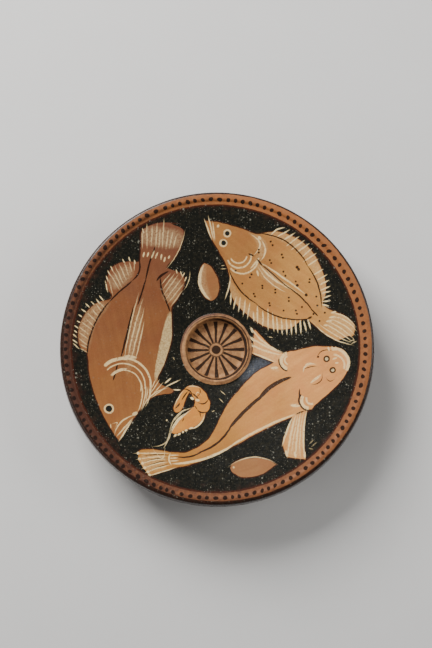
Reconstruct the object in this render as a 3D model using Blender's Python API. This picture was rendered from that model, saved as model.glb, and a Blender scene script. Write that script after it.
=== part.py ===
"""A wheel-thrown fired clay fish plate: a shallow dish that slopes to a sunken sauce well, with a rounded
lip, a turned-down rim and a hollow ring foot, all thrown as one piece of clay.

Units are metres and +Z is up. The origin is the centre of the foot's underside.
"""
import math

import bpy
from mathutils import Matrix, Vector

# Overall size
PLATE_RADIUS = 0.130  # at the lower edge of the turned-down rim, the widest place
PLATE_HEIGHT = 0.050  # from the foot's underside to the top of the lip

# Lip and turned-down rim
LIP_WIDTH = 0.0075  # the rounded band between the dish and the outer shoulder
LIP_RISE = 0.0016  # how far the lip stands above the edge of the dish
LIP_CLIMB = 0.0019  # how far out the lip's inner side reaches its full height
LIP_ROUNDING = 0.0038
LIP_SHOULDER = 0.0028  # rounding from the lip over to the outer wall
DISH_EDGE_ROUNDING = 0.0016  # in the shallow corner between the dish and the lip
RIM_DROP = 0.019  # from the top of the lip to the rim's lower edge
RIM_FLARE = 0.0016  # how much wider the rim is below than at the shoulder
RIM_WALL = 0.0058
RIM_EDGE_ROUNDING = 0.0024

# Dish
DISH_FALL = 0.016  # from the edge of the dish down to the ring around the well
DISH_THICKNESS = 0.0065
UNDERSIDE_ROUNDING = 0.006  # where the dish turns down into the rim, seen from below

# Sauce well and the raised ring around it
WELL_RADIUS = 0.0262  # at the crest of the ring
WELL_DEPTH = 0.0062  # from the dish beside the ring to the floor of the well
WELL_WALL_RUN = 0.0038  # how far the sloping wall of the well comes in
WELL_FLOOR_THICKNESS = 0.0065
WELL_CORNER = 0.004
RING_RISE = 0.0013
RING_RUN = 0.0042  # from the crest of the ring out to the dish
RING_ROUNDING = 0.0016

# Foot
FOOT_RADIUS = 0.055
FOOT_NECK_INSET = 0.010  # how much narrower the neck is than the foot's edge
FOOT_EDGE_HEIGHT = 0.0075  # of the upright edge
FOOT_EDGE_SLOPE = 0.005  # how far the foot rises from its edge to the neck
FOOT_RING_WIDTH = 0.0075  # the flat ring that stands on the table, with its rounded edges
FOOT_WALL = 0.0070
FOOT_ROUNDING = 0.0012
NECK_ROUNDING = 0.009

# Fineness of the turned surface
TURNED_SIDES = 72
ARC_STEP = math.radians(30)

FIRED_CLAY_COLOUR = (0.43, 0.19, 0.08, 1.0)
FIRED_CLAY_ROUGHNESS = 0.55


def clear_scene():
    """Remove every object, so that the model starts from an empty scene."""
    for old in list(bpy.data.objects):
        bpy.data.objects.remove(old)


def rounded_corner(before, corner, after, radius):
    """Return the points of an arc that rounds one corner of an outline.

    The arc touches both neighbouring edges, and where an edge is too short for it, it is limited to half of it.
    """
    inwards = before - corner
    onwards = after - corner
    opening = inwards.angle(onwards)
    reach = radius / math.tan(opening / 2)
    reach = min(reach, inwards.length / 2, onwards.length / 2)
    fitted_radius = reach * math.tan(opening / 2)
    bisector = (inwards.normalized() + onwards.normalized()).normalized()
    centre = corner + bisector * fitted_radius / math.sin(opening / 2)
    spoke = corner + inwards.normalized() * reach - centre
    last_spoke = corner + onwards.normalized() * reach - centre
    turn = -spoke.angle_signed(last_spoke)
    steps = max(2, math.ceil(abs(turn) / ARC_STEP))
    return [centre + Matrix.Rotation(turn * step / steps, 2) @ spoke for step in range(steps + 1)]


def rounded_outline(corners):
    """Return the outline through (radius from the axis, height, rounding) corners, with each corner rounded."""
    places = [Vector((distance, height)) for distance, height, _ in corners]
    points = [places[0]]
    for index in range(1, len(corners) - 1):
        rounding = corners[index][2]
        points += rounded_corner(places[index - 1], places[index], places[index + 1], rounding)
    points.append(places[-1])
    return points


def plate_corners():
    """Return the corners of half the plate's section, from the floor of the well outwards, over and back below."""
    dish_edge_radius = PLATE_RADIUS - RIM_FLARE - LIP_WIDTH
    dish_edge_height = PLATE_HEIGHT - LIP_RISE
    dish_inner_radius = WELL_RADIUS + RING_RUN
    dish_inner_height = dish_edge_height - DISH_FALL
    dish_slope = DISH_FALL / (dish_edge_radius - dish_inner_radius)
    well_floor_height = dish_inner_height - WELL_DEPTH
    well_floor_radius = WELL_RADIUS - WELL_WALL_RUN

    shoulder_radius = PLATE_RADIUS - RIM_FLARE
    rim_edge_height = PLATE_HEIGHT - RIM_DROP
    rim_inner_radius = PLATE_RADIUS - RIM_WALL
    rim_inner_top_radius = rim_inner_radius - RIM_FLARE

    def underside_height(radius):
        return dish_edge_height - DISH_THICKNESS - dish_slope * (dish_edge_radius - radius)

    neck_radius = FOOT_RADIUS - FOOT_NECK_INSET
    foot_hollow_height = well_floor_height - WELL_FLOOR_THICKNESS
    return [
        (0.0, well_floor_height, 0.0),
        (well_floor_radius, well_floor_height, WELL_CORNER),
        (WELL_RADIUS, dish_inner_height + RING_RISE, RING_ROUNDING),
        (dish_inner_radius, dish_inner_height, RING_ROUNDING),
        (dish_edge_radius, dish_edge_height, DISH_EDGE_ROUNDING),
        (dish_edge_radius + LIP_CLIMB, PLATE_HEIGHT, LIP_ROUNDING),
        (shoulder_radius, PLATE_HEIGHT, LIP_SHOULDER),
        (PLATE_RADIUS, rim_edge_height, RIM_EDGE_ROUNDING),
        (rim_inner_radius, rim_edge_height, RIM_EDGE_ROUNDING),
        (rim_inner_top_radius, underside_height(rim_inner_top_radius), UNDERSIDE_ROUNDING),
        (neck_radius, underside_height(neck_radius), NECK_ROUNDING),
        (neck_radius, FOOT_EDGE_HEIGHT + FOOT_EDGE_SLOPE, NECK_ROUNDING),
        (FOOT_RADIUS, FOOT_EDGE_HEIGHT, FOOT_ROUNDING),
        (FOOT_RADIUS, 0.0, FOOT_ROUNDING),
        (FOOT_RADIUS - FOOT_RING_WIDTH, 0.0, FOOT_ROUNDING),
        (neck_radius - FOOT_WALL, foot_hollow_height, NECK_ROUNDING),
        (0.0, foot_hollow_height, 0.0),
    ]


def fired_clay_material():
    """Return the plain fired clay of the unpainted plate."""
    material = bpy.data.materials.new("fired_clay")
    material.use_nodes = True
    surface = material.node_tree.nodes["Principled BSDF"]
    surface.inputs["Base Color"].default_value = FIRED_CLAY_COLOUR
    surface.inputs["Roughness"].default_value = FIRED_CLAY_ROUGHNESS
    surface.inputs["Metallic"].default_value = 0.0
    return material


def turned_piece(name, outline, material):
    """Turn an outline, which runs down the piece's outer side, once around the Z axis."""
    mesh = bpy.data.meshes.new(name)
    points = [(point.x, 0.0, point.y) for point in outline]
    edges = [(index, index + 1) for index in range(len(points) - 1)]
    mesh.from_pydata(points, edges, [])
    piece = bpy.data.objects.new(name, mesh)
    bpy.context.collection.objects.link(piece)
    piece.data.materials.append(material)
    turning = piece.modifiers.new("turning", "SCREW")
    turning.axis = "Z"
    turning.angle = math.tau
    turning.steps = TURNED_SIDES
    turning.render_steps = TURNED_SIDES
    turning.use_merge_vertices = True
    turning.merge_threshold = 0.00005
    turning.use_smooth_shade = True
    return piece


def main():
    """Build the plate."""
    clear_scene()
    turned_piece("fish_plate", rounded_outline(plate_corners()), fired_clay_material())


main()
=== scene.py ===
"""The look of a wheel-thrown fish plate, painted with fish in the colour of its clay on a black ground.

The plate is turned again from the section of the CAD solid, only finer. Its painting is worked out in the
material from outlines and touches of the brush, which are laid out by the pixels of the photograph that they
pass. Lengths are metres in the mesh and millimetres in the painting, and the origin is the centre of the
foot's underside.
"""
import logging
import math
from dataclasses import dataclass, field
from enum import Enum
from functools import reduce
from typing import Any

import bpy
from mathutils import Matrix, Vector

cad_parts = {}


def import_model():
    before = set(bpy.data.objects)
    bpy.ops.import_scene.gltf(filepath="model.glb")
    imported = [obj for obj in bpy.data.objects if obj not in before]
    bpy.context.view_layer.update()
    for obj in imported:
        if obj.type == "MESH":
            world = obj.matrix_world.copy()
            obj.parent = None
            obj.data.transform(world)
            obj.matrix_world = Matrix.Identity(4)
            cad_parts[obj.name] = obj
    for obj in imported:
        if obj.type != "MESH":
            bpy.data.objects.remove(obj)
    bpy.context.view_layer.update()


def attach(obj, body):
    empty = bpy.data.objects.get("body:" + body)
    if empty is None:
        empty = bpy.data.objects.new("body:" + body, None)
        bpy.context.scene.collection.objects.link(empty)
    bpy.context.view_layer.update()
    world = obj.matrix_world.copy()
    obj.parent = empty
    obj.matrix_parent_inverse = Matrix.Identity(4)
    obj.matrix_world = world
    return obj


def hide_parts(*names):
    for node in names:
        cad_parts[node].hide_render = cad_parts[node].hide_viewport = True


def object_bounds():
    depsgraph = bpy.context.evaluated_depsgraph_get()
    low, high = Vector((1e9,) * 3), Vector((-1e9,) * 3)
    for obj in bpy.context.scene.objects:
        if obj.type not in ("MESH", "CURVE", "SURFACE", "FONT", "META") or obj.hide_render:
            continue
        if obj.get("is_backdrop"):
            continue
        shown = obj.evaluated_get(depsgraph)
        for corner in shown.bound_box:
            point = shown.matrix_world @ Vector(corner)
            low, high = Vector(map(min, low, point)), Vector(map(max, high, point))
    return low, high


LOG = logging.getLogger("fish_plate")

CAD_NODE = "fish_plate"
BODY = "root"
BAKE_MAP = "OFBake"
MILLIMETRES = 1000.0

# How the photograph shows the plate
PIXEL_SIZE = 0.8183  # millimetres of the plate, in the plane of its lip
CENTRE_PIXEL = (217.1, 347.4)  # where the plate's axis passes the plane of the lip
VIEW_TILT = math.radians(5.6)  # how far the line of sight leans from the plate's axis
VIEW_DISTANCE = 1.6
PHOTOGRAPH_HEIGHT_SEEN = 0.5303  # metres of the plane of the lip from the picture's lower edge to its upper
AIM = (-0.0009, 0.0192)  # where the middle of the picture meets the plane of the lip
FILM_HEIGHT = 36.0
SETTLING_ROUNDS = 3  # after which a pixel's place on the sloping dish hardly moves

# Kinds of value: numbers in a row such as pixels, two such as the start and end of a change, and a colour
Path = tuple[float, ...]
Pair = tuple[float, float]
Colour = tuple[float, float, float, float]
Socket = bpy.types.NodeSocket

BENT_PATH = 6  # numbers in the path of a touch that bends

# Sockets of a Mix node that mixes colours
MIX_SHARE, MIX_UNDER, MIX_OVER = 0, 6, 7
MIXED = 2

# The relief of burnished and painted clay, with the size of its lumps in millimetres and their detail
RELIEF_FINE = (1.6, 3.0)
RELIEF_BROAD = (14.0, 1.0)
RELIEF_FINE_SHARE = 0.35
RELIEF_STRENGTH = 0.32
RELIEF_DEPTH = 0.0009


def seen(red: int, green: int, blue: int) -> Colour:
    """Turn a colour as a screen shows it into the light that a shader works with.

    Args:
        red: from 0 to 255.
        green: from 0 to 255.
        blue: from 0 to 255.

    Returns:
        The colour, full and opaque.
    """
    def light(level: int) -> float:
        """Undo a screen's usual curve."""
        share = level / 255
        return share / 12.92 if share <= 0.04045 else ((share + 0.055) / 1.055) ** 2.4
    return (light(red), light(green), light(blue), 1.0)


@dataclass(frozen=True)
class PlateSection:
    """Sizes of the plate's section in metres, the same as those of the CAD solid."""

    plate_radius: float = 0.130
    plate_height: float = 0.050
    lip_width: float = 0.0075
    lip_rise: float = 0.0016
    lip_climb: float = 0.0019
    lip_rounding: float = 0.0038
    lip_shoulder: float = 0.0028
    dish_edge_rounding: float = 0.0016
    rim_drop: float = 0.019
    rim_flare: float = 0.0016
    rim_wall: float = 0.0058
    rim_edge_rounding: float = 0.0024
    dish_fall: float = 0.016
    dish_thickness: float = 0.0065
    underside_rounding: float = 0.006
    well_radius: float = 0.0262
    well_depth: float = 0.0062
    well_wall_run: float = 0.0038
    well_floor_thickness: float = 0.0065
    well_corner: float = 0.004
    ring_rise: float = 0.0013
    ring_run: float = 0.0042
    ring_rounding: float = 0.0016
    foot_radius: float = 0.055
    foot_neck_inset: float = 0.010
    foot_edge_height: float = 0.0075
    foot_edge_slope: float = 0.005
    foot_ring_width: float = 0.0075
    foot_wall: float = 0.0070
    foot_rounding: float = 0.0012
    neck_rounding: float = 0.009

    @property
    def dish_edge_radius(self) -> float:
        """Radius where the dish meets the lip."""
        return self.plate_radius - self.rim_flare - self.lip_width

    @property
    def dish_inner_radius(self) -> float:
        """Radius where the dish meets the ring around the well."""
        return self.well_radius + self.ring_run

    @property
    def dish_edge_height(self) -> float:
        """Height where the dish meets the lip."""
        return self.plate_height - self.lip_rise

    @property
    def dish_slope(self) -> float:
        """How much the dish rises for each metre outwards."""
        return self.dish_fall / (self.dish_edge_radius - self.dish_inner_radius)

    @property
    def neck_radius(self) -> float:
        """Radius of the narrowest part of the foot."""
        return self.foot_radius - self.foot_neck_inset

    @property
    def neck_top(self) -> float:
        """Height where the straight neck begins, above the foot's edge."""
        return self.foot_edge_height + self.foot_edge_slope

    def dish_height(self, radius: float) -> float:
        """Return how high the dish is at a radius, with its slope carried no further in than the ring."""
        inwards = self.dish_edge_radius - max(radius, self.dish_inner_radius)
        return self.dish_edge_height - self.dish_slope * inwards

    def corners(self) -> list[tuple[float, float, float]]:
        """Lay out half the section.

        Returns:
            Its corners as radius, height and rounding, from the floor of the well outwards and back below.
        """
        dish_inner_height = self.dish_edge_height - self.dish_fall
        well_floor_height = dish_inner_height - self.well_depth
        shoulder_radius = self.plate_radius - self.rim_flare
        rim_edge_height = self.plate_height - self.rim_drop
        rim_inner_radius = self.plate_radius - self.rim_wall
        rim_inner_top_radius = rim_inner_radius - self.rim_flare
        foot_hollow_height = well_floor_height - self.well_floor_thickness

        def underside(radius: float) -> float:
            """Return the height of the dish's underside at a radius."""
            fall = self.dish_slope * (self.dish_edge_radius - radius)
            return self.dish_edge_height - self.dish_thickness - fall

        return [
            (0.0, well_floor_height, 0.0),
            (self.well_radius - self.well_wall_run, well_floor_height, self.well_corner),
            (self.well_radius, dish_inner_height + self.ring_rise, self.ring_rounding),
            (self.dish_inner_radius, dish_inner_height, self.ring_rounding),
            (self.dish_edge_radius, self.dish_edge_height, self.dish_edge_rounding),
            (self.dish_edge_radius + self.lip_climb, self.plate_height, self.lip_rounding),
            (shoulder_radius, self.plate_height, self.lip_shoulder),
            (self.plate_radius, rim_edge_height, self.rim_edge_rounding),
            (rim_inner_radius, rim_edge_height, self.rim_edge_rounding),
            (rim_inner_top_radius, underside(rim_inner_top_radius), self.underside_rounding),
            (self.neck_radius, underside(self.neck_radius), self.neck_rounding),
            (self.neck_radius, self.neck_top, self.neck_rounding),
            (self.foot_radius, self.foot_edge_height, self.foot_rounding),
            (self.foot_radius, 0.0, self.foot_rounding),
            (self.foot_radius - self.foot_ring_width, 0.0, self.foot_rounding),
            (self.neck_radius - self.foot_wall, foot_hollow_height, self.neck_rounding),
            (0.0, foot_hollow_height, 0.0),
        ]


SECTION = PlateSection()


def on_plate(across_pixel: float, down_pixel: float) -> Vector:
    """Find the place on the plate that a pixel of the photograph shows.

    Args:
        across_pixel: pixels from the left of the photograph.
        down_pixel: pixels from its top.

    Returns:
        The place in millimetres from the plate's axis, seen from above.
    """
    lean = math.tan(VIEW_TILT)
    across = (across_pixel - CENTRE_PIXEL[0]) * PIXEL_SIZE
    up = (CENTRE_PIXEL[1] - down_pixel) * PIXEL_SIZE
    place = Vector((across, up))
    for _ in range(SETTLING_ROUNDS):
        height = SECTION.dish_height(place.length / MILLIMETRES)
        drop = (SECTION.plate_height - height) * MILLIMETRES
        nearer = 1 + drop / (VIEW_DISTANCE * MILLIMETRES)
        place = Vector((across * nearer, up * nearer + drop * lean))
    return place


class Amount:
    """A number that changes over the surface: a socket with the arithmetic that the finishes use."""

    def __init__(self, bench: "Bench", socket: Socket) -> None:
        """Hold the socket that gives the number, and the bench whose tree it is in."""
        self.bench = bench
        self.socket = socket

    def _math(self, operation: str, *values: "Amount | float", clamp: bool = False) -> "Amount":
        """Add a Math node on some values."""
        settings = {"operation": operation, "use_clamp": clamp}
        return self.bench.amount("ShaderNodeMath", settings, dict(enumerate(values)))

    def __add__(self, other: "Amount | float") -> "Amount":
        """Add."""
        return self._math("ADD", self, other)

    __radd__ = __add__

    def __sub__(self, other: "Amount | float") -> "Amount":
        """Take another from this."""
        return self._math("SUBTRACT", self, other)

    def __rsub__(self, other: float) -> "Amount":
        """Take this from a plain number."""
        return self._math("SUBTRACT", other, self)

    def __mul__(self, other: "Amount | float") -> "Amount":
        """Multiply."""
        return self._math("MULTIPLY", self, other)

    __rmul__ = __mul__

    def __abs__(self) -> "Amount":
        """Drop the sign."""
        return self._math("ABSOLUTE", self)

    def times_plus(self, factor: "Amount | float", extra: "Amount | float") -> "Amount":
        """Multiply by one and add another in a single node."""
        return self._math("MULTIPLY_ADD", self, factor, extra)

    def least(self, other: "Amount | float") -> "Amount":
        """Return the smaller of the two."""
        return self._math("MINIMUM", self, other)

    def most(self, other: "Amount | float") -> "Amount":
        """Return the larger of the two."""
        return self._math("MAXIMUM", self, other)

    def to_nearest(self) -> "Amount":
        """Return how far this is from the nearest whole number, from 0 to a half."""
        return self._math("PINGPONG", self, 0.5)

    def facing(self, degrees: float) -> "Amount":
        """Return how near this turn is to one in degrees: 1 on it, -1 opposite."""
        return self._math("COSINE", self - math.radians(degrees))

    def swing(self, size: float) -> "Amount":
        """Return this noise about 0 rather than a half, made larger by a size."""
        return (self - 0.5) * size

    def ramp(self, none: float, full: float) -> "Amount":
        """Return 0 at or before none, 1 at or past full, and a straight ramp between."""
        slope = 1 / (full - none)
        return self._math("MULTIPLY_ADD", self, slope, -none * slope, clamp=True)

    def inside(self, limit: float, softness: float) -> "Amount":
        """Return 1 where this is less than a limit and 0 where it is more, softly."""
        return self.ramp(limit + softness, limit - softness)

    def outside(self, limit: float, softness: float) -> "Amount":
        """Return 1 where this is more than a limit and 0 where it is less, softly."""
        return self.ramp(limit - softness, limit + softness)


class Bench:
    """One node tree, with a single way to add a node to it."""

    def __init__(self, tree: bpy.types.NodeTree) -> None:
        """Take over a tree."""
        self.tree = tree

    def node(self, kind: str, settings: dict[str, Any] | None = None,
             inputs: dict[int | str, Any] | None = None) -> bpy.types.Node:
        """Add a node.

        Args:
            kind: the node's type.
            settings: what is set on the node itself. "knots" holds the points of a curve.
            inputs: for each socket, by name or number, the number, vector, socket or Amount that it takes.

        Returns:
            The node.
        """
        node = self.tree.nodes.new(kind)
        for name, setting in (settings or {}).items():
            if name == "knots":
                self._set_knots(node.mapping, setting)
            else:
                setattr(node, name, setting)
        for key, value in (inputs or {}).items():
            source = value.socket if isinstance(value, Amount) else value
            if isinstance(source, Socket):
                self.tree.links.new(source, node.inputs[key])
            else:
                node.inputs[key].default_value = source
        return node

    @staticmethod
    def _set_knots(mapping: bpy.types.CurveMapping, knots: list[Pair]) -> None:
        """Lead a curve, which starts with two points, through its knots.

        Args:
            mapping: the curve's mapping.
            knots: the points, from the left.
        """
        mapping.use_clip = False
        points = mapping.curves[0].points
        for index, knot in enumerate(knots):
            point = points[index] if index < 2 else points.new(*knot)
            point.location = knot
            point.handle_type = "AUTO_CLAMPED"
        mapping.update()

    def amount(self, kind: str, settings: dict[str, Any] | None = None,
               inputs: dict[int | str, Any] | None = None, output: int | str = 0) -> Amount:
        """Add a node and return one of its outputs as an Amount."""
        return Amount(self, self.node(kind, settings, inputs).outputs[output])

    def vector(self, operation: str, *values: Any) -> Socket:
        """Return the vector that an operation on vectors gives."""
        return self.node("ShaderNodeVectorMath", {"operation": operation}, dict(enumerate(values))).outputs[0]

    def measure(self, operation: str, *values: Any) -> Amount:
        """Return the number that an operation on vectors gives."""
        return self.amount("ShaderNodeVectorMath", {"operation": operation}, dict(enumerate(values)), "Value")

    def mixed(self, under: Any, over: Any, share: Any) -> Socket:
        """Return the colour under, with a share of the colour over laid on it."""
        settings = {"data_type": "RGBA", "clamp_factor": True}
        inputs = {MIX_SHARE: share, MIX_UNDER: under, MIX_OVER: over}
        return self.node("ShaderNodeMix", settings, inputs).outputs[MIXED]

    def noise(self, place: Socket, lumps: Pair, output: int | str = 0) -> Amount:
        """Return noise with lumps of a size, in the unit of place, and a detail."""
        inputs = {"Vector": place, "Scale": 1 / lumps[0], "Detail": lumps[1]}
        return self.amount("ShaderNodeTexNoise", {"noise_dimensions": "3D"}, inputs, output)

    def along(self, place: Socket, direction: Vector, start: Vector, length: float) -> Amount:
        """Return how far a place, as x, y and 1, is from start along a direction, counted in lengths."""
        step = direction / length
        return self.measure("DOT_PRODUCT", place, (step.x, step.y, -start.dot(step)))

    def distance(self, place: Socket, centre: Vector) -> Amount:
        """Return how far a place, as x, y and 1, is from a centre, in millimetres."""
        return self.measure("DISTANCE", place, (centre.x, centre.y, 1.0))

    def around(self, place: Socket, centre: Vector) -> tuple[Amount, Amount]:
        """Find a place by its turn about a centre.

        Args:
            place: the place, as x, y and 1.
            centre: the centre.

        Returns:
            The distance from the centre in millimetres, and the turn from the right in radians.
        """
        parts = self.node("ShaderNodeSeparateXYZ", None, {0: place}).outputs
        across, up = Amount(self, parts[0]) - centre.x, Amount(self, parts[1]) - centre.y
        turn = self.amount("ShaderNodeMath", {"operation": "ARCTAN2"}, {0: up, 1: across})
        return self.distance(place, centre), turn

    def burnished(self, here: Socket) -> Socket:
        """Return normals with the fine unevenness of burnished and painted clay."""
        relief = self.noise(here, RELIEF_FINE) * RELIEF_FINE_SHARE + self.noise(here, RELIEF_BROAD)
        inputs = {"Strength": RELIEF_STRENGTH, "Distance": RELIEF_DEPTH, "Height": relief}
        return self.node("ShaderNodeBump", None, inputs).outputs[0]

    def finish(self, inputs: dict[str, Any]) -> None:
        """Give the material its surface."""
        surface = self.node("ShaderNodeBsdfPrincipled", None, inputs)
        self.node("ShaderNodeOutputMaterial", None, {"Surface": surface.outputs[0]})


def start_finish(name: str) -> tuple[bpy.types.Material, Bench, Socket]:
    """Start a material.

    Args:
        name: the material's name.

    Returns:
        The material, the bench for its nodes, and the spot on the piece in millimetres.
    """
    material = bpy.data.materials.new(name)
    material.use_nodes = True
    material.node_tree.nodes.clear()
    bench = Bench(material.node_tree)
    here = bench.node("ShaderNodeTexCoord").outputs["Object"]
    return material, bench, bench.vector("MULTIPLY", here, (MILLIMETRES,) * 3)


class Layer(Enum):
    """The layers of the painting, from the lowest."""

    CLAY = "Clay"  # left unpainted in the black ground
    WASH = "Wash"  # white thinned until the clay shows through
    LINE = "Line"  # thinned black
    WHITE = "White"  # added white
    SPOT = "Spot"  # black over the white


EDGE_SOFTNESS = {Layer.CLAY: 0.22, Layer.WASH: 4.0, Layer.LINE: 0.22, Layer.WHITE: 0.28, Layer.SPOT: 0.2}
OUTLINE_SOFTNESS = (0.02, 2 * EDGE_SOFTNESS[Layer.CLAY])  # in millimetres inside an outline
OUTLINE_MARGIN = 2.0  # millimetres beyond an outline's edges that its curves reach
HALO_WIDTH = 1.4  # of the thin reddish black around each shape, in millimetres


@dataclass(frozen=True)
class Strokes:
    """Touches of the brush of one width.

    Each path is the pixel where a touch starts, the pixel that it bends through if it isn't straight, and the
    pixel where it ends.
    """

    width: float  # at the middle, in millimetres
    paths: tuple[Path, ...]
    blunt: bool = False  # whether the ends are full rather than drawn out
    strength: float = 1.0  # less than 1 where the paint is thin

    def painted(self, bench: Bench, place: Socket, softness: float) -> Amount:
        """Find how fully the touches cover a place.

        Args:
            bench: the bench for the nodes.
            place: the place, as x, y and 1.
            softness: half the width of the touches' soft edges, in millimetres.

        Returns:
            0 beside the touches, and their strength on them.
        """
        reach = reduce(Amount.least, [self._reach(bench, place, path) for path in self.paths])
        cover = reach.inside(1.0, min(1.0, 2 * softness / self.width))
        return cover * self.strength if self.strength < 1 else cover

    def _reach(self, bench: Bench, place: Socket, path: Path) -> Amount:
        """Measure a place against one touch.

        Args:
            bench: the bench for the nodes.
            place: the place, as x, y and 1.
            path: the touch.

        Returns:
            0 on the middle of the touch, 1 at its edge and more outside.
        """
        start, end = on_plate(*path[:2]), on_plate(*path[-2:])
        middle, half = (start + end) / 2, (end - start) / 2
        direction = half.normalized()
        side = Vector((-direction.y, direction.x))
        half_width = self.width / 2
        bow = 0.0
        if len(path) == BENT_PATH:
            bend = on_plate(*path[2:4]) - middle
            share = bend.dot(direction) / half.length
            bow = bend.dot(side) / half_width / (1 - share * share)
        lengthwise = bench.along(place, direction, middle, half.length)
        crosswise = bench.along(place, side, middle + side * (bow * half_width), half_width)
        squared = lengthwise * lengthwise
        if bow:
            crosswise = squared.times_plus(bow, crosswise)
        if self.blunt:
            squared = squared * squared
        return crosswise.times_plus(crosswise, squared)


@dataclass(frozen=True)
class Dots:
    """Round touches of the brush, by the pixels of their centres."""

    radius: float
    centres: tuple[Path, ...]

    def painted(self, bench: Bench, place: Socket, softness: float) -> Amount:
        """Return how fully the dots cover a place, as x, y and 1."""
        far = reduce(Amount.least, [bench.distance(place, on_plate(*centre)) for centre in self.centres])
        return far.inside(self.radius, softness)


@dataclass(frozen=True)
class Arc:
    """A touch of the brush along part of a circle.

    Its centre and radius are in pixels, and its middle and half its sweep in degrees, counted from the right
    of the picture towards its top.
    """

    width: float
    centre: Path
    radius: float
    middle: float
    half_sweep: float
    end_fade: float = 1.2

    def painted(self, bench: Bench, place: Socket, softness: float) -> Amount:
        """Find how fully the touch covers a place.

        Args:
            bench: the bench for the nodes.
            place: the place, as x, y and 1.
            softness: half the width of the touch's soft edges, in millimetres.

        Returns:
            0 beside the touch, and 1 on it.
        """
        centre = on_plate(*self.centre)
        radius = (on_plate(self.centre[0] + self.radius, self.centre[1]) - centre).length
        middle, sweep = math.radians(self.middle), math.radians(self.half_sweep)
        far = bench.distance(place, centre)
        crosswise = far.times_plus(2 / self.width, -2 * radius / self.width)
        back = Vector((-math.cos(middle), -math.sin(middle)))
        past_end = bench.along(place, back, centre, self.end_fade)
        past_end = far.times_plus(math.cos(sweep) / self.end_fade, past_end)
        reach = (crosswise * crosswise).most(past_end + 1)
        return reach.inside(1.0, min(1.0, 2 * softness / self.width))


@dataclass(frozen=True)
class Outline:
    """A shape between two edges that both run from its first end to its last, by the pixels they pass."""

    axis: tuple[Path, Path]
    one_edge: tuple[Path, ...]
    other_edge: tuple[Path, ...]

    def depth(self, bench: Bench, place: Socket) -> Amount:
        """Measure a place against the shape.

        Args:
            bench: the bench for the nodes.
            place: the place, as x, y and 1.

        Returns:
            How deep inside the shape the place is, in millimetres, and less than 0 outside.
        """
        start, end = (on_plate(*pixel) for pixel in self.axis)
        length = (end - start).length
        direction = (end - start) / length
        side = Vector((-direction.y, direction.x))
        edges = [[on_plate(*pixel) - start for pixel in edge] for edge in (self.one_edge, self.other_edge)]
        edges.sort(key=lambda edge: sum(spot.dot(side) for spot in edge) / len(edge))
        across = [spot.dot(side) for edge in edges for spot in edge]
        low, high = min(across) - OUTLINE_MARGIN, max(across) + OUTLINE_MARGIN
        span = high - low
        lengthwise = bench.along(place, direction, start, length)
        crosswise = bench.along(place, side, start + side * low, span)
        curves = []
        for edge in edges:
            knots = sorted((spot.dot(direction) / length, (spot.dot(side) - low) / span) for spot in edge)
            curves.append(bench.amount("ShaderNodeFloatCurve", {"knots": knots}, {"Value": lengthwise}))
        inside = (crosswise - curves[0]).least(curves[1] - crosswise)
        ends = lengthwise.least(1 - lengthwise) * (length / span)
        return inside.least(ends) * span


@dataclass(frozen=True)
class Figure:
    """One painted figure, as its outlines and the touches of each layer."""

    name: str
    clay: Colour | None = None  # inside the outlines
    clay_at_end: Colour | None = None
    run: Path = (150, 400, 260, 450)  # the pixels that the clay's colour changes between
    wash_turn: float = 20.0  # how the brush of thin wash was drawn, in degrees from the right
    lines_last: bool = False  # whether the thinned black was drawn over the white
    outlines: tuple[Outline, ...] = ()
    touches: dict[Layer, tuple[Strokes | Dots | Arc, ...]] = field(default_factory=dict)

    def group(self) -> bpy.types.NodeTree:
        """Make the node group that tells for any place which layers of the figure cover it.

        Returns:
            The group, with an output for each layer and one for what is near the outlines.
        """
        tree = bpy.data.node_groups.new(self.name, "ShaderNodeTree")
        tree.interface.new_socket(name="Place", in_out="INPUT", socket_type="NodeSocketVector")
        bench = Bench(tree)
        place = bench.node("NodeGroupInput").outputs[0]
        depths = [outline.depth(bench, place) for outline in self.outlines]
        parts = {layer.value: [touches.painted(bench, place, EDGE_SOFTNESS[layer])
                               for touches in self.touches.get(layer, ())] for layer in Layer}
        parts[Layer.CLAY.value] += [depth.ramp(*OUTLINE_SOFTNESS) for depth in depths]
        parts["Near"] = [depth.ramp(-HALO_WIDTH, 0.0) for depth in depths]
        for name in parts:
            tree.interface.new_socket(name=name, in_out="OUTPUT", socket_type="NodeSocketFloat")
        covers = {name: reduce(Amount.most, covering) for name, covering in parts.items() if covering}
        bench.node("NodeGroupOutput", None, covers)
        return tree


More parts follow.
